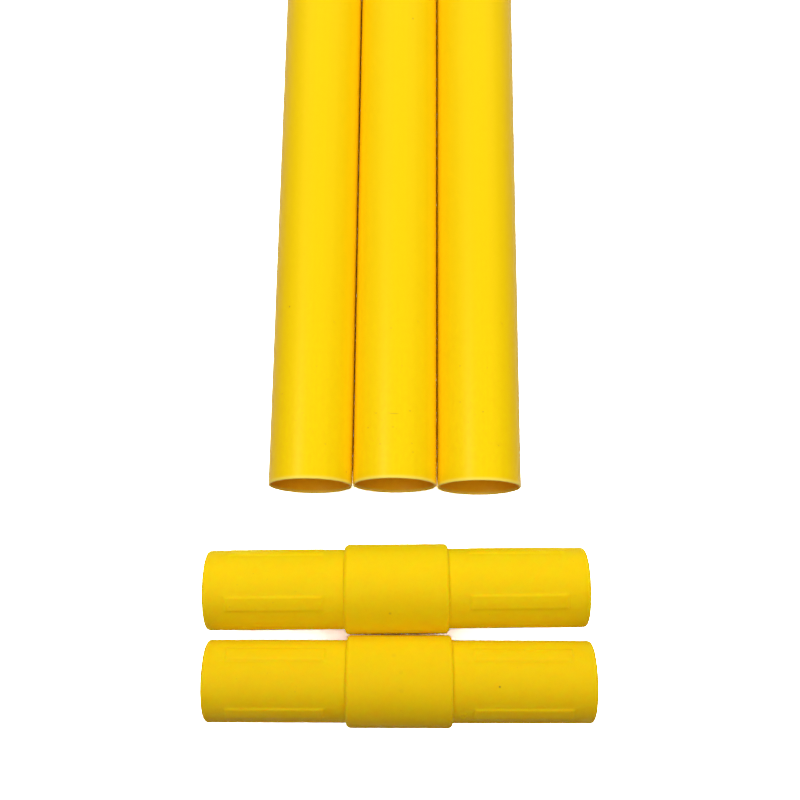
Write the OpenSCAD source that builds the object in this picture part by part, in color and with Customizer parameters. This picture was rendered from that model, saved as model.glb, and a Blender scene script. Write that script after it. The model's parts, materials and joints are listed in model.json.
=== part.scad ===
// Knocked-down sectional net pole: three tube sections lying side by side and, in front
// of their open ends, the two plug-in couplers that join them end to end.
// Millimetres, +Z up. The tubes lie along Y on the ground plane z = 0, with their mouths
// towards -Y. The origin is the middle of the set's footprint, on the ground.

/* [Tube sections] */
// Number of pole sections is fixed; this is the outer diameter of each
tube_od = 32; // [24:0.5:45]
// Wall thickness of a section
tube_wall = 0.8; // [0.8:0.1:2]
// Length of a section, from rim to rim
tube_length = 800; // [300:10:1200]
// Rounding of the sawn rims, on the outer and the inner edge
rim_round = 0.35; // [0.1:0.05:0.39]

/* [Coupler] */
// Length of each plug, from the collar's shoulder to the nose
plug_length = 51.2; // [46:0.1:90]
// Depth of the plug's wall
coupler_wall = 2.5; // [1.5:0.1:4]
// Rounding of the plug's nose
nose_round = 1.5; // [0.5:0.1:2.2]
// Length of the collar between the two plugs
collar_length = 38.5; // [15:0.1:60]
// Diameter that the collar stands proud of the tube
collar_step = 1; // [0.4:0.1:6]
// Rounding of the collar's shoulders
shoulder_round = 1.6; // [0.5:0.1:2.2]

/* [Grip pads on the plugs] */
// Number of pads round each plug
pad_count = 4; // [3:1:8]
// Width of a pad at its foot, across the plug
pad_width = 6.6; // [4:0.1:8]
// Length of a pad at its foot, along the plug
pad_length = 36.3; // [20:0.1:37]
// Width of the slope round a pad, from its foot to its crest
pad_slope = 1.1; // [0.3:0.1:1.6]
// Distance from the collar's shoulder to the pads
pad_setback = 7; // [5:0.1:8]
// Height of a pad above the plug
pad_height = 0.4; // [0.2:0.05:1]
// Radial clearance between the pads and the bore of a tube
fit_clearance = 0.1; // [0.05:0.05:0.3]

/* [How the pieces lie] */
// Clear space between neighbouring tubes
tube_gap = 0.3; // [0.2:0.1:20]
// How far the left tube's mouth stands in front of the middle one's
left_stagger = 0.45; // [0:0.05:5]
// How far the right tube's mouth stands in front of the middle one's
right_stagger = 0.55; // [0:0.05:5]
// Clear space between the middle tube's mouth and the rear coupler's collar
mouth_gap = 22.5; // [5:0.5:60]
// Clear space between the two collars, measured across their middles
collar_gap = 0.45; // [0.45:0.05:20]
// Sideways offset of the rear coupler from the middle tube
rear_offset = 1.1; // [-8:0.1:8]
// Sideways offset of the front coupler from the middle tube
front_offset = 2.4; // [-8:0.1:8]
// Angle of the rear coupler to the square of the tubes, in degrees
rear_yaw = 0.95; // [0.3:0.05:1.2]
// Angle of the front coupler to the square of the tubes, in degrees
front_yaw = 0.3; // [0:0.05:0.95]
// Roll of the rear coupler about its own axis, which places its pads, in degrees
rear_roll = 25.6; // [0:0.1:90]
// Roll of the front coupler about its own axis, in degrees
front_roll = 51.8; // [0:0.1:90]

/* [Hidden] */
$fn = 120;

tube_yellow = [1.00, 0.84, 0.07];
coupler_yellow = [0.93, 0.74, 0.05];

tube_radius = tube_od / 2;
bore_radius = tube_radius - tube_wall;
tube_pitch = tube_od + tube_gap;

pad_radius = bore_radius - fit_clearance;
plug_radius = pad_radius - pad_height;
coupler_bore = plug_radius - coupler_wall;
collar_radius = tube_radius + collar_step / 2;
collar_half = collar_length / 2;
coupler_half = collar_half + plug_length;

// The couplers lie on their collars, so their axes are at the height of a collar radius
rear_y = -mouth_gap - collar_radius;
front_y = rear_y - 2 * collar_radius - collar_gap;

// Furthest reach, in direction a degrees off its own axis, of a round-edged disc at
// distance h along the axis with radius r and edge rounding e
function reach(h, r, e, a) = (h - e) * cos(a) + (r - e) * sin(a) + e;

// Half widths of the couplers across the set, and the depth of the front one's collar
rear_reach = reach(coupler_half, plug_radius, nose_round, rear_yaw);
front_reach = reach(coupler_half, plug_radius, nose_round, front_yaw);
front_depth = reach(collar_radius, collar_half, shoulder_round, front_yaw);

// Place of the middle tube's mouth that puts the origin in the middle of the footprint
right_reach = max(rear_offset + rear_reach, front_offset + front_reach);
left_reach = max(rear_reach - rear_offset, front_reach - front_offset);
mouth_x = (left_reach - right_reach) / 2;
mouth_y = (front_depth - front_y - tube_length) / 2;

// Half of a wall's section, for turning about the axis: a strip from radius r_in to
// r_out, from 0 to length, with both of its ends rounded on both edges
module rounded_wall(r_in, r_out, length, edge)
{
    translate([r_in + edge, 0]) square([r_out - r_in - 2 * edge, length]);
    translate([r_in, edge]) square([r_out - r_in, length - 2 * edge]);
    for (x = [r_in + edge, r_out - edge], y = [edge, length - edge])
        translate([x, y]) circle(r = edge, $fn = 48);
}

// One pole section, along +Z from its mouth
module tube()
{
    rotate_extrude() rounded_wall(bore_radius, tube_radius, tube_length, rim_round);
}

// Section of the coupler's outside, from its middle up to one nose
module coupler_half_section()
{
    // Collar, with a rounded shoulder
    square([collar_radius - shoulder_round, collar_half]);
    square([collar_radius, collar_half - shoulder_round]);
    translate([collar_radius - shoulder_round, collar_half - shoulder_round])
        circle(r = shoulder_round, $fn = 64);
    // Plug, with a rounded nose
    square([plug_radius, coupler_half - nose_round]);
    square([plug_radius - nose_round, coupler_half]);
    translate([plug_radius - nose_round, coupler_half - nose_round])
        circle(r = nose_round, $fn = 64);
}

// Section of the ring that the pads are cut from, sloped at both ends and rooted in the
// plug's wall
module pad_ring_section()
{
    root = coupler_bore + coupler_wall / 2;
    foot = plug_radius - pad_height / 2;
    start = collar_half + pad_setback;
    end = start + pad_length;
    polygon([[root, start - pad_slope / 2], [foot, start - pad_slope / 2],
             [pad_radius, start + pad_slope], [pad_radius, end - pad_slope],
             [foot, end + pad_slope / 2], [root, end + pad_slope / 2]]);
}

// Section of the sloping flanks that cut one pad out of the ring, on the +X side
module pad_flanks_section()
{
    root = coupler_bore + coupler_wall / 2;
    foot_y = pad_width / 2;
    crest_y = foot_y - pad_slope;
    foot_x = sqrt(pow(plug_radius, 2) - pow(foot_y, 2));
    crest_x = sqrt(pow(pad_radius, 2) - pow(crest_y, 2));
    low = [foot_x - (crest_x - foot_x) / 2, foot_y + pad_slope / 2];
    high = [crest_x + (crest_x - foot_x) / 5, crest_y - pad_slope / 5];
    polygon([[root, -low[1]], [low[0], -low[1]], [high[0], -high[1]],
             [high[0], high[1]], [low[0], low[1]], [root, low[1]]]);
}

// The long raised pads that grip the tube's bore, round the plug on the +Z side
module pads()
{
    for (i = [0 : pad_count - 1])
        rotate([0, 0, i * 360 / pad_count])
            intersection() {
                rotate_extrude() pad_ring_section();
                linear_extrude(height = coupler_half) pad_flanks_section();
            }
}

// The one-piece hollow coupler, along Z about its middle
module coupler()
{
    difference() {
        union() {
            for (side = [0, 1])
                mirror([0, 0, side]) {
                    rotate_extrude() coupler_half_section();
                    pads();
                }
        }
        translate([0, 0, -coupler_half - 1])
            cylinder(r = coupler_bore, h = 2 * coupler_half + 2);
    }
}

// Lays a section along +Y, its mouth at x and y from the middle tube's mouth
module lay_tube(x, y)
{
    translate([mouth_x + x, mouth_y + y, tube_radius])
        rotate([-90, 0, 0])
            tube();
}

// Lays a coupler across the tubes, turned by yaw and rolled about its own axis
module lay_coupler(x, y, yaw, roll)
{
    translate([mouth_x + x, mouth_y + y, collar_radius])
        rotate([0, 90, yaw])
            rotate([0, 0, roll])
                coupler();
}

module left_tube()
{
    color(tube_yellow) lay_tube(-tube_pitch, -left_stagger);
}

module middle_tube()
{
    color(tube_yellow) lay_tube(0, 0);
}

module right_tube()
{
    color(tube_yellow) lay_tube(tube_pitch, -right_stagger);
}

module rear_coupler()
{
    color(coupler_yellow) lay_coupler(rear_offset, rear_y, rear_yaw, rear_roll);
}

module front_coupler()
{
    color(coupler_yellow) lay_coupler(front_offset, front_y, front_yaw, front_roll);
}

left_tube();
middle_tube();
right_tube();
rear_coupler();
front_coupler();
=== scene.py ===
import json
from math import atan2, cos, pi, radians, sin

import bpy
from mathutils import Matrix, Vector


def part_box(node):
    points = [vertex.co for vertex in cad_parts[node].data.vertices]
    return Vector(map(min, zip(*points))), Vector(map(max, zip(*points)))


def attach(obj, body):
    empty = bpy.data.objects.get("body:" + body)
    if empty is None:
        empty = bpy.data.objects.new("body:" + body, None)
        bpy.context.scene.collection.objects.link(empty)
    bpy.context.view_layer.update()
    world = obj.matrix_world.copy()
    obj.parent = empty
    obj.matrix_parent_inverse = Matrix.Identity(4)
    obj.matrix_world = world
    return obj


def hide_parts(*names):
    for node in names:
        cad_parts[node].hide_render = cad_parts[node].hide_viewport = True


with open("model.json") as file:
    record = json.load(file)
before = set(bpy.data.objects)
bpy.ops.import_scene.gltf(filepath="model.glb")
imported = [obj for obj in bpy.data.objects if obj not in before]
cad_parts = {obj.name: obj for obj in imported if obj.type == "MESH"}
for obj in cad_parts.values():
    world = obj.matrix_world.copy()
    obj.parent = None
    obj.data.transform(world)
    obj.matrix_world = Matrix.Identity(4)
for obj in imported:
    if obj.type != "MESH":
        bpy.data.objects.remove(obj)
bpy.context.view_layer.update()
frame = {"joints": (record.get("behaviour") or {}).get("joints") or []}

mm = 0.001

# Above the couplers, looking steeply down along the tubes
camera = {
    "height": 431.6 * mm,       # above the ground
    "ahead": 76.15 * mm,        # in front of the middle tube's mouth
    "aside": 2.67 * mm,         # to the right of the middle tube
    "lookDown": 75.16,          # degrees below the horizon
    "turn": 0.48,               # degrees, anticlockwise seen from above
    "lens": 49.55,
    "sensor": 36.0,
    "nearest": 10 * mm,         # nothing closer than this is seen
}


def placeCamera():
    low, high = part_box("middle_tube")
    data = bpy.data.cameras.new("viewCamera")
    data.lens = camera["lens"]
    data.sensor_width = camera["sensor"]
    data.clip_start = camera["nearest"]
    holder = bpy.data.objects.new("viewCamera", data)
    bpy.context.scene.collection.objects.link(holder)
    middle = (low.x + high.x) / 2
    holder.location = (middle + camera["aside"], low.y - camera["ahead"], camera["height"])
    holder.rotation_euler = (radians(90 - camera["lookDown"]), 0, radians(camera["turn"]))
    bpy.context.scene.camera = holder
    print("camera placed")


class Value:
    # A socket of a node tree, which adds Math nodes when it is reckoned with
    def __init__(self, shader, socket):
        self.shader = shader
        self.socket = socket

    def other(self, name):
        # Another output of the node that this value comes from
        return Value(self.shader, self.socket.node.outputs[name])

    def __add__(self, value):
        return self.shader.maths("ADD", self, value)

    def __radd__(self, value):
        return self.shader.maths("ADD", value, self)

    def __sub__(self, value):
        return self.shader.maths("SUBTRACT", self, value)

    def __rsub__(self, value):
        return self.shader.maths("SUBTRACT", value, self)

    def __mul__(self, value):
        return self.shader.maths("MULTIPLY", self, value)

    def __rmul__(self, value):
        return self.shader.maths("MULTIPLY", value, self)

    def __pow__(self, value):
        return self.shader.maths("POWER", self, value)

    def __abs__(self):
        return self.shader.maths("ABSOLUTE", self, 0.0)


plastic = {
    "ior": 1.49,
    "depthTint": (1.0, 0.4, 0.05),      # how deep red, green and blue light go, as shares
}


class Shader:
    # The node tree of a material or a world, whose nodes all come from add()
    def __init__(self, owner):
        owner.use_nodes = True
        self.owner = owner
        self.tree = owner.node_tree
        self.tree.nodes.clear()

    def add(self, kind, settings=None, values=None, output=0):
        # Settings first, then the value or the link of each socket
        node = self.tree.nodes.new(kind)
        count = len(self.tree.nodes)
        node.location = (220 * (count % 12), -260 * (count // 12))
        for key, setting in (settings or {}).items():
            setattr(node, key, setting)
        for key, value in (values or {}).items():
            if isinstance(value, Value):
                self.tree.links.new(value.socket, node.inputs[key])
            else:
                node.inputs[key].default_value = value
        return Value(self, node.outputs[output]) if len(node.outputs) else None

    def maths(self, operation, first, second):
        return self.add("ShaderNodeMath", {"operation": operation}, {0: first, 1: second})

    def place(self, centre, turn=0.0):
        # The surface's own place, from the piece's centre and along its axes
        here = self.add("ShaderNodeTexCoord", output="Object")
        return self.add("ShaderNodeMapping", {"vector_type": "TEXTURE"},
                        {"Vector": here, "Location": centre, "Rotation": (0, 0, turn)})

    def split(self, vector):
        across = self.add("ShaderNodeSeparateXYZ", None, {"Vector": vector})
        return across, across.other("Y"), across.other("Z")

    def stretch(self, vector, factors):
        return self.add("ShaderNodeVectorMath", {"operation": "MULTIPLY"},
                        {0: vector, 1: factors})

    def noise(self, vector, scale, detail=2.0, roughness=0.5):
        return self.add("ShaderNodeTexNoise", None, {
            "Vector": vector, "Scale": scale, "Detail": detail, "Roughness": roughness})

    def fade(self, value, start, end, low=0.0, high=1.0):
        # Runs smoothly from low to high while the value runs from start to end
        return self.add("ShaderNodeMapRange", {"interpolation_type": "SMOOTHSTEP"}, {
            "Value": value, "From Min": start, "From Max": end, "To Min": low, "To Max": high})

    def mix(self, factor, first, second):
        # The sockets 0, 6 and 7 are a colour mix's factor and two colours
        return self.add("ShaderNodeMix", {"data_type": "RGBA"},
                        {0: factor, 6: first, 7: second}, output=2)

    def shade(self, colour, tone):
        return self.add("ShaderNodeVectorMath", {"operation": "SCALE"}, {0: colour, "Scale": tone})

    def spot(self, vector, centre, size):
        # 1 inside an ellipsoid of that size about the centre, 0 outside, soft at its edge
        away = self.add("ShaderNodeVectorMath", {"operation": "SUBTRACT"}, {0: vector, 1: centre})
        scaled = self.add("ShaderNodeVectorMath", {"operation": "DIVIDE"}, {0: away, 1: size})
        far = self.add("ShaderNodeVectorMath", {"operation": "LENGTH"}, {0: scaled}, output="Value")
        return self.fade(far, 1.0, 0.5)

    def bump(self, height, distance, strength):
        return self.add("ShaderNodeBump", None,
                        {"Height": height, "Distance": distance, "Strength": strength})

    def finish(self, piece, colour, roughness, height):
        # Moulded plastic, which lets light in as deep as the piece's dictionary says
        normal = self.bump(height, piece["grainDepth"], piece["grainStrength"])
        surface = self.add("ShaderNodeBsdfPrincipled", None, {
            "Base Color": colour, "Roughness": roughness, "Normal": normal, "IOR": plastic["ior"],
            "Specular IOR Level": piece["gloss"], "Specular Tint": piece["glossTint"],
            "Subsurface Weight": 1.0 if piece["depth"] else 0.0,
            "Subsurface Scale": piece["depth"], "Subsurface Radius": plastic["depthTint"]})
        self.add("ShaderNodeOutputMaterial", None, {"Surface": surface})
        return self.owner


def selectOnly(*pieces):
    bpy.ops.object.select_all(action="DESELECT")
    for piece in pieces:
        piece.select_set(True)
        bpy.context.view_layer.objects.active = piece


def startPattern(name, sides, radius, length):
    # A round bar along X about the origin, in edit mode, that a piece is shaped from
    bpy.ops.object.select_all(action="DESELECT")
    bpy.ops.mesh.primitive_cylinder_add(vertices=sides, radius=radius, depth=length,
                                        end_fill_type="NGON", rotation=(0, pi / 2, 0))
    bpy.ops.object.transform_apply(location=False, rotation=True, scale=False)
    pattern = bpy.context.object
    pattern.name = name
    bpy.ops.object.mode_set(mode="EDIT")
    return pattern


def pick(pattern, kind, test):
    # Selects the points, edges or faces that pass the test, and nothing else
    bpy.ops.mesh.select_mode(type=kind)
    bpy.ops.mesh.select_all(action="DESELECT")
    bpy.ops.object.mode_set(mode="OBJECT")
    mesh = pattern.data
    for part in {"VERT": mesh.vertices, "EDGE": mesh.edges, "FACE": mesh.polygons}[kind]:
        part.select = test(part, mesh)
    bpy.ops.object.mode_set(mode="EDIT")


def bevelEdges(pattern, test, size, segments):
    pick(pattern, "EDGE", test)
    bpy.ops.mesh.bevel(offset=size, segments=segments, profile=0.5, affect="EDGES")


def cutAcross(along):
    # Loops of edges all round the piece, at that distance to both sides of its middle
    for side in (-1, 1):
        bpy.ops.mesh.select_all(action="SELECT")
        bpy.ops.mesh.bisect(plane_co=(side * along, 0, 0), plane_no=(1, 0, 0), use_fill=False)


def hollowOut(pattern, wall):
    # Insets both end caps by the wall and joins them into a bore through the piece
    pick(pattern, "FACE", lambda face, mesh: abs(face.normal.x) > 0.99)
    bpy.ops.mesh.inset(thickness=wall, use_boundary=True)
    bpy.ops.mesh.bridge_edge_loops()


def fromAxis(point):
    return (point.y ** 2 + point.z ** 2) ** 0.5


def ringAt(along, radius, slack=0.02 * mm):
    # A test for the edges of the two round loops of that radius at |x| = along
    def onRing(end):
        return abs(abs(end.x) - along) < slack and abs(fromAxis(end) - radius) < slack

    def test(edge, mesh):
        first, second = [mesh.vertices[index].co for index in edge.vertices]
        return abs(first.x - second.x) < slack and onRing(first) and onRing(second)
    return test


def endPattern(pattern, sharp=35, mergeWithin=0.002 * mm):
    # Edges sharper than that many degrees stay sharp, and the rest is smooth
    bpy.ops.mesh.select_all(action="SELECT")
    bpy.ops.mesh.remove_doubles(threshold=mergeWithin)
    bpy.ops.mesh.normals_make_consistent(inside=False)
    bpy.ops.mesh.select_all(action="DESELECT")
    bpy.ops.object.mode_set(mode="OBJECT")
    bpy.ops.object.shade_smooth_by_angle(angle=radians(sharp))
    print("modelled", pattern.name)


def layCopy(pattern, name, turns, material):
    # A copy with its own mesh, turned and moved to the middle of its node's box
    low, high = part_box(name)
    selectOnly(pattern)
    bpy.ops.object.duplicate(linked=False)
    piece = bpy.context.object
    piece.name = name + "_visual"
    piece.data.name = piece.name
    piece.rotation_euler = turns
    piece.location = (low + high) / 2
    bpy.ops.object.transform_apply(location=True, rotation=True, scale=False)
    piece.data.materials.append(material)
    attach(piece, name)
    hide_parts(name)
    print("laid", piece.name)


tube = {
    "length": 800 * mm,
    "radius": 16 * mm,
    "wall": 0.8 * mm,
    "sides": 160,
    "rimRound": 0.35 * mm,
    "rimSteps": 5,
    "colour": (0.985, 0.70, 0.003, 1),
    # the bore: darker and more orange than the outside, painted shade and bounced light inside the
    # tube
    "inside": (1.0, 0.52, 0.008, 1),
    "rimPaleAndLit": (1.0, 0.87, 0.15, 1),       # the rim's pale band: sawn whitening, and a painted highlight on the rounded lip
    "rimPaleAndLitDepth": 1.7 * mm,
    "dirt": (0.55, 0.35, 0.02, 1),
    "roughness": 0.30,
    "gloss": 0.22,
    "glossTint": (1.0, 0.8, 0.08, 1),
    "depth": 0.0,                           # no light shows through the wall
    "grainDepth": 0.02 * mm,
    "grainStrength": 0.5,
    "wornLength": 110 * mm,                 # from each mouth, with the wear thickest at it
    # How fine each texture is, along X, Y and Z, as features to the metre
    "fineLines": (2600, 5, 2600),
    "broadLines": (420, 2.5, 420),
    "mottle": (700, 380, 700),
    "scratches": (330, 2100, 330),
    # Small marks: millimetres from the mouth, degrees from the top towards the right,
    # length along the tube, width across it, and strength
    "marks": {
        "left_tube": [(67.9, -33.9, 1.1, 0.9, 0.6), (33.3, -42.3, 0.8, 1.0, 0.35),
                      (4.2, 61.8, 1.2, 1.0, 0.35)],
        "middle_tube": [(193.6, 21.2, 1.2, 0.9, 0.5), (58.2, -6.8, 0.8, 1.0, 0.3),
                        (24.5, -1.5, 0.6, 4.6, 0.45), (25.0, -26.7, 0.7, 1.2, 0.3),
                        (25.8, 20.4, 0.8, 1.4, 0.3), (19.8, -39.5, 0.8, 1.0, 0.35),
                        (19.3, -2.7, 0.7, 1.3, 0.3), (13.0, -20.2, 0.8, 1.2, 0.25),
                        (10.1, 25.1, 0.8, 1.0, 0.3)],
        "right_tube": [(44.4, -29.2, 0.9, 0.9, 0.35), (26.0, 2.1, 0.8, 1.1, 0.35),
                       (30.2, -29.5, 0.8, 0.9, 0.3), (14.0, 20.0, 2.0, 10.0, 0.05)],
    },
}


def tubeMaterial(name):
    low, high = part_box(name)
    shader = Shader(bpy.data.materials.new(name + "Plastic"))
    # The surface's place from the middle of the tube's mouth, along Y to its far end
    here = shader.place(((low.x + high.x) / 2, low.y, (low.z + high.z) / 2))
    across, along, up = shader.split(here)
    fromEnd = shader.maths("MINIMUM", along, tube["length"] - along)
    inner, outer = tube["radius"] - 0.75 * tube["wall"], tube["radius"] - 0.3 * tube["wall"]
    outside = shader.fade((across * across + up * up) ** 0.5, inner, outer)
    nearMouth = shader.fade(fromEnd, tube["wornLength"], 5 * mm, 0.25, 1.0)

    # Lengthwise draw lines, a slow change of tone, and mottling that grows to the mouths
    fineLines = shader.noise(shader.stretch(here, tube["fineLines"]), 1.0, 2.0)
    broadLines = shader.noise(shader.stretch(here, tube["broadLines"]), 1.0, 2.0)
    cloud = shader.noise(here, 28.0, 3.0)
    mottle = shader.noise(shader.stretch(here, tube["mottle"]), 1.0, 3.0, 0.6)

    # Short fine scratches and rubbed dirt, thicker towards the mouths
    scratchPlace = shader.stretch(here, tube["scratches"])
    scratches = shader.fade(shader.noise(scratchPlace, 1.0, 3.0, 0.6), 0.68, 0.75)
    patches = shader.fade(shader.noise(here, 95.0, 2.0), 0.42, 0.66)
    grime = shader.fade(shader.noise(here, 650.0, 2.0, 0.7), 0.64, 0.77)
    worn = patches * nearMouth

    marks = 0.0
    for fromMouth, degrees, length, width, strength in tube["marks"][name]:
        angle = radians(degrees)
        middle = (tube["radius"] * sin(angle), fromMouth * mm, tube["radius"] * cos(angle))
        size = (width / 2 * mm, length / 2 * mm, width / 2 * mm)
        marks = marks + shader.spot(here, middle, size) * strength

    tone = 0.97 + fineLines * 0.035 + broadLines * 0.05 + cloud * 0.02
    tone = tone + (mottle - 0.5) * nearMouth * 0.14 + 0.0125
    # The bore gets its own darker, more orange colour: painted shade and bounced light inside the
    # tube
    plain = shader.shade(shader.mix(outside, tube["inside"], tube["colour"]), tone)
    dirty = shader.mix(scratches * worn * 0.32 + grime * worn * 0.38 + marks, plain, tube["dirt"])
    # Paler towards each end: sawn whitening of the rim, and a painted highlight on its rounded lip
    rimPaleAndLitShare = shader.fade(fromEnd, tube["rimPaleAndLitDepth"], 0.05 * mm)
    colour = shader.mix(rimPaleAndLitShare * 0.85, dirty, tube["rimPaleAndLit"])

    roughness = tube["roughness"] + fineLines * 0.06 + cloud * 0.05
    roughness = roughness + scratches * worn * 0.2 + (1 - outside) * 0.12
    height = fineLines * 0.35 + broadLines * 0.5 + mottle * nearMouth * 0.5 - scratches * worn * 0.8
    return shader.finish(tube, colour, roughness, height)


def makeTubes():
    pattern = startPattern("tubePattern", tube["sides"], tube["radius"], tube["length"])
    hollowOut(pattern, tube["wall"])
    for radius in (tube["radius"], tube["radius"] - tube["wall"]):
        bevelEdges(pattern, ringAt(tube["length"] / 2, radius), tube["rimRound"], tube["rimSteps"])
    endPattern(pattern)
    # A quarter turn lays a tube along Y
    for name in ("left_tube", "middle_tube", "right_tube"):
        layCopy(pattern, name, (0, 0, pi / 2), tubeMaterial(name))
    bpy.data.objects.remove(pattern)


coupler = {
    "half": 70.45 * mm,             # from the middle to a nose
    "plugRadius": 14.7 * mm,
    "boreRadius": 12.2 * mm,
    "noseRound": 1.5 * mm,
    "boreRound": 0.2 * mm,
    "roundSteps": 8,                # to the noses and the shoulders
    "boreSteps": 2,
    "collarHalf": 19.25 * mm,
    "collarRadius": 16.5 * mm,
    "shoulderRound": 1.6 * mm,
    "sides": 336,                   # a side is 0.27 mm wide
    "padSides": 24,                 # to a pad at its foot
    "slopeSides": 4,                # to the slope along each side of a pad
    "padStart": 26.25 * mm,         # from the middle
    "padEnd": 62.55 * mm,
    "endSlope": 1.2 * mm,           # length of the slope at each end of a pad
    "padHeight": 0.4 * mm,
    "gateAlong": 22.8 * mm,         # the ring that the moulding's gate has left
    "gateAngle": -2.8,              # degrees off the middle of a pad
    "gateRadius": 1.15 * mm,
    "gateThick": 0.26 * mm,
    "gateSunk": 0.12 * mm,          # its middle lies that deep in the plug
    "gateSteps": (32, 12),          # round the ring, and round its section
    # The front coupler's colour is darker than the rear's: painted shade, where the light falls off
    # towards the front
    "colour": {"rear_coupler": (0.995, 0.668, 0.005), "front_coupler": (0.85, 0.612, 0.005)},
    "dirt": (0.30, 0.17, 0.02, 1),
    "roughness": 0.5,
    "gloss": 0.06,
    "glossTint": (1.0, 0.8, 0.2, 1),
    "depth": 1.2 * mm,              # how deep the light goes into the thick wall
    "grainDepth": 0.03 * mm,
    "grainStrength": 0.55,
    # How fine each texture is, along the coupler and across it, as features to the metre
    "rubLines": (30, 1500, 1500),
    "scratches": (260, 1700, 1700),
    # Degrees that each is rolled about its own axis, its top towards the viewer
    "roll": {"rear_coupler": 205.6, "front_coupler": 51.8},
    # Small marks: millimetres to the right of the middle, degrees from the top towards
    # the back, width and strength
    "marks": {
        "rear_coupler": [(-2.4, -37.3, 1.3, 0.25)],
        "front_coupler": [(35.4, -7.7, 0.9, 0.75), (-2.0, 32.0, 2.2, 0.06), (0.6, 10.0, 2.0, 0.07),
                          (0.8, -12.0, 2.0, 0.07)],
    },
}


def padRise(point):
    # Steps up a pad's slope: 0 at its foot and off the pads, slopeSides on its crest
    steps = coupler["slopeSides"]
    fromEnds = min(abs(point.x) - coupler["padStart"], coupler["padEnd"] - abs(point.x))
    quarter = atan2(point.y, point.z) % (pi / 2)
    fromMiddle = min(quarter, pi / 2 - quarter) * coupler["sides"] / (2 * pi)
    up = min(fromEnds / coupler["endSlope"] * steps, coupler["padSides"] / 2 - fromMiddle)
    return round(max(0, min(steps, up)))


def raisePads(pattern):
    # Each step of the slope is spread away from the axis on its own, on a smooth curve
    wallMiddle = (coupler["plugRadius"] + coupler["boreRadius"]) / 2
    for step in range(1, coupler["slopeSides"] + 1):
        share = step / coupler["slopeSides"]
        spread = 1 + coupler["padHeight"] * share * share * (3 - 2 * share) / coupler["plugRadius"]
        pick(pattern, "VERT", lambda point, mesh:
             fromAxis(point.co) > wallMiddle and padRise(point.co) == step)
        bpy.ops.transform.resize(value=(1, spread, spread), center_override=(0, 0, 0))


def collarFace(face, mesh):
    # The outer faces in the middle of the bar, and not those of its bore
    outer = fromAxis(face.center) > coupler["boreRadius"] + 1 * mm
    return abs(face.center.x) < coupler["collarHalf"] and outer


def addGateRing(pattern):
    # A small raised ring between the collar and a pad of the right plug, fused with it
    angle = radians(coupler["gateAngle"])
    reach = coupler["plugRadius"] - coupler["gateSunk"]
    around, across = coupler["gateSteps"]
    bpy.ops.object.select_all(action="DESELECT")
    bpy.ops.mesh.primitive_torus_add(
        major_segments=around, minor_segments=across, rotation=(-angle, 0, 0),
        major_radius=coupler["gateRadius"], minor_radius=coupler["gateThick"],
        location=(coupler["gateAlong"], reach * sin(angle), reach * cos(angle)))
    ring = bpy.context.object
    selectOnly(pattern)
    fuse = pattern.modifiers.new("fuse", "BOOLEAN")
    fuse.operation = "UNION"
    fuse.solver = "EXACT"
    fuse.object = ring
    bpy.ops.object.modifier_apply(modifier=fuse.name)
    bpy.data.objects.remove(ring)


def makeCouplers():
    wall = coupler["plugRadius"] - coupler["boreRadius"]
    pattern = startPattern("couplerPattern", coupler["sides"], coupler["plugRadius"],
                           2 * coupler["half"])
    cutAcross(coupler["collarHalf"])
    for step in range(coupler["slopeSides"] + 1):
        along = coupler["endSlope"] * step / coupler["slopeSides"]
        cutAcross(coupler["padStart"] + along)
        cutAcross(coupler["padEnd"] - along)
    hollowOut(pattern, wall)

    # The collar is pulled up out of the bar
    pick(pattern, "FACE", collarFace)
    bpy.ops.mesh.extrude_region()
    spread = coupler["collarRadius"] / coupler["plugRadius"]
    bpy.ops.transform.resize(value=(1, spread, spread), center_override=(0, 0, 0))
    shoulders = ringAt(coupler["collarHalf"], coupler["collarRadius"])
    noses = ringAt(coupler["half"], coupler["plugRadius"])
    boreEdges = ringAt(coupler["half"], coupler["boreRadius"])
    bevelEdges(pattern, shoulders, coupler["shoulderRound"], coupler["roundSteps"])
    bevelEdges(pattern, noses, coupler["noseRound"], coupler["roundSteps"])
    bevelEdges(pattern, boreEdges, coupler["boreRound"], coupler["boreSteps"])
    raisePads(pattern)
    endPattern(pattern)
    addGateRing(pattern)

    for name in ("rear_coupler", "front_coupler"):
        turn = pushTurn(name)
        turns = (radians(coupler["roll"][name]), 0, turn)
        layCopy(pattern, name, turns, couplerMaterial(name, turn))
    bpy.data.objects.remove(pattern)


def pushTurn(name):
    # A coupler's turn about Z is that of the joint it is pushed along
    push = [joint["axis"] for joint in frame["joints"] if joint["child"] == name][0]
    return atan2(push[1] / push[0], 1)


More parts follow.
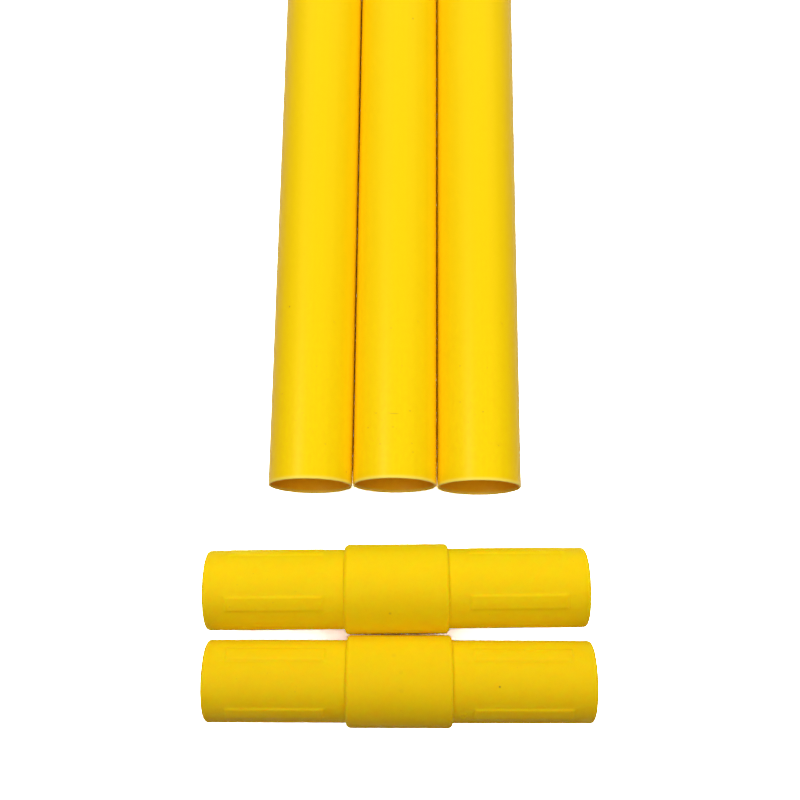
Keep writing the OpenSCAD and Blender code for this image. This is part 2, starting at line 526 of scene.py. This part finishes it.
def couplerMaterial(name, turn):
    low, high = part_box(name)
    shader = Shader(bpy.data.materials.new(name + "Plastic"))
    here = shader.place(tuple((low + high) / 2), turn)
    along, back, up = shader.split(here)
    crest = coupler["plugRadius"] + coupler["padHeight"]
    onPlug = shader.fade(abs(along), coupler["collarHalf"], coupler["collarHalf"] + 2 * mm)
    radius = (back * back + up * up) ** 0.5
    onPad = shader.fade(radius, crest - 0.2 * mm, crest - 0.03 * mm) * onPlug

    # Fine moulded grain, mottling, and rub lines along the plugs from fitting
    grain = shader.noise(here, 2300.0, 3.0, 0.6)
    fleck = shader.noise(here, 800.0, 3.0, 0.6)
    cloud = shader.noise(here, 60.0, 3.0)
    rubLines = shader.noise(shader.stretch(here, coupler["rubLines"]), 1.0, 3.0)
    scratchPlace = shader.stretch(here, coupler["scratches"])
    scratches = shader.fade(shader.noise(scratchPlace, 1.0, 3.0, 0.6), 0.68, 0.76)
    grime = shader.fade(shader.noise(here, 800.0, 2.0, 0.7), 0.68, 0.79)

    marks = 0.0
    for rightward, degrees, width, strength in coupler["marks"][name]:
        angle = radians(degrees)
        beyondCollar = abs(rightward) * mm > coupler["collarHalf"]
        reach = coupler["plugRadius"] if beyondCollar else coupler["collarRadius"]
        middle = (rightward * mm, reach * sin(angle), reach * cos(angle))
        marks = marks + shader.spot(here, middle, (width / 2 * mm,) * 3) * strength

    tone = 0.92 + grain * 0.05 + fleck * 0.07 + cloud * 0.04
    toned = shader.shade(coupler["colour"][name], tone)
    colour = shader.mix(marks + grime * 0.25 + scratches * onPlug * 0.10, toned, coupler["dirt"])

    roughness = coupler["roughness"] + grain * 0.08 + cloud * 0.06
    roughness = roughness - onPad * 0.08 + rubLines * onPlug * 0.05
    height = grain * 0.7 + fleck * 0.6 + rubLines * onPlug * 0.5
    return shader.finish(coupler, colour, roughness, height)


studio = {
    "floorHalf": 3.0,
    "floorDrop": 0.02 * mm,                 # below the ground, clear of what lies on it
    "floorColour": (0.25, 0.09, 0.025, 1),  # as it lights the object
    "floorMirrored": (1.1, 1.1, 1.1, 1),    # as it shows in gloss
    "floorSeen": (7.5, 8.4, 8.0, 1),        # as the camera sees it, white but for the shadow
    "floorGapShade": (6.0, 1.3, 0.1, 1),        # as the camera sees it deep in a gap: painted shade, dark and warm
    "floorReach": 30 * mm,                  # how far off a piece narrows a gap
    "floorGap": (0.01, 0.05),               # shares of open sky: deep in a gap, and out of it
    "keyStrength": 3.04,
    "keyTilt": 20.5,                        # degrees from straight above, towards the back
    "keySpread": 100.0,                     # degrees across
    "streakStrength": 4.9,                  # a cool lamp that shows in gloss alone
    "streakColour": (0.2, 0.2, 1.0),
    "streakTilt": -5.0,
    "streakSide": -30.0,                    # degrees from straight above, towards the right
    "streakSpread": 4.0,
    "skyStrength": 0.105,
    "skyTint": (1.0, 0.55, 0.3, 1),
}


def makeFloor():
    bpy.ops.object.select_all(action="DESELECT")
    bpy.ops.mesh.primitive_plane_add(size=2 * studio["floorHalf"],
                                     location=(0, 0, -studio["floorDrop"]))
    floor = bpy.context.object
    floor.name = "floor"
    bpy.ops.object.transform_apply(location=True, rotation=False, scale=False)
    shader = Shader(bpy.data.materials.new("floorPaper"))
    # Where the pieces close the floor in, the camera sees it dark and warm: painted shade in the
    # gaps
    openness = shader.add("ShaderNodeAmbientOcclusion", {"samples": 16},
                          {"Distance": studio["floorReach"]}, output="AO")
    deep, clear = studio["floorGap"]
    inView = shader.mix(shader.fade(openness, deep, clear),
                        studio["floorGapShade"], studio["floorSeen"])
    looks = studio["floorColour"], studio["floorMirrored"], inView
    plain, mirrored, seen = (shader.add("ShaderNodeBsdfDiffuse", None, {"Color": look})
                             for look in looks)
    byCamera = shader.add("ShaderNodeLightPath", output="Is Camera Ray")
    inGloss = byCamera.other("Is Glossy Ray") + byCamera.other("Is Transmission Ray")
    shown = shader.add("ShaderNodeMixShader", None, {0: inGloss, 1: plain, 2: mirrored})
    surface = shader.add("ShaderNodeMixShader", None, {0: byCamera, 1: shown, 2: seen})
    shader.add("ShaderNodeOutputMaterial", None, {"Surface": surface})
    floor.data.materials.append(shader.owner)
    print("floor laid")


def addLamp(name, strength, spread, backward, rightward):
    # Angles in degrees: how far across, and how far from straight above to both sides
    data = bpy.data.lights.new(name, "SUN")
    data.energy = strength
    data.angle = radians(spread)
    lamp = bpy.data.objects.new(name, data)
    bpy.context.scene.collection.objects.link(lamp)
    lamp.rotation_euler = (-radians(backward), radians(rightward), 0)
    return lamp


def makeLights():
    addLamp("keyLight", studio["keyStrength"], studio["keySpread"], studio["keyTilt"], 0)
    streak = addLamp("streakLight", studio["streakStrength"], studio["streakSpread"],
                     studio["streakTilt"], studio["streakSide"])
    streak.data.color = studio["streakColour"]
    streak.visible_diffuse = False

    # The sky is white to the camera and in gloss, and dim as it lights the object
    world = bpy.data.worlds.new("studioWorld")
    bpy.context.scene.world = world
    shader = Shader(world)
    byCamera = shader.add("ShaderNodeLightPath", output="Is Camera Ray")
    seen = byCamera + byCamera.other("Is Glossy Ray") + byCamera.other("Is Transmission Ray")
    dim = shader.add("ShaderNodeBackground", None,
                     {"Color": studio["skyTint"], "Strength": studio["skyStrength"]})
    white = shader.add("ShaderNodeBackground", None, {"Color": (1, 1, 1, 1), "Strength": 1.0})
    both = shader.add("ShaderNodeMixShader", None, {0: seen, 1: dim, 2: white})
    shader.add("ShaderNodeOutputWorld", None, {"Surface": both})
    bpy.context.scene.view_settings.view_transform = "Standard"
    print("studio lit")


placeCamera()
makeTubes()
makeCouplers()
makeFloor()
makeLights()
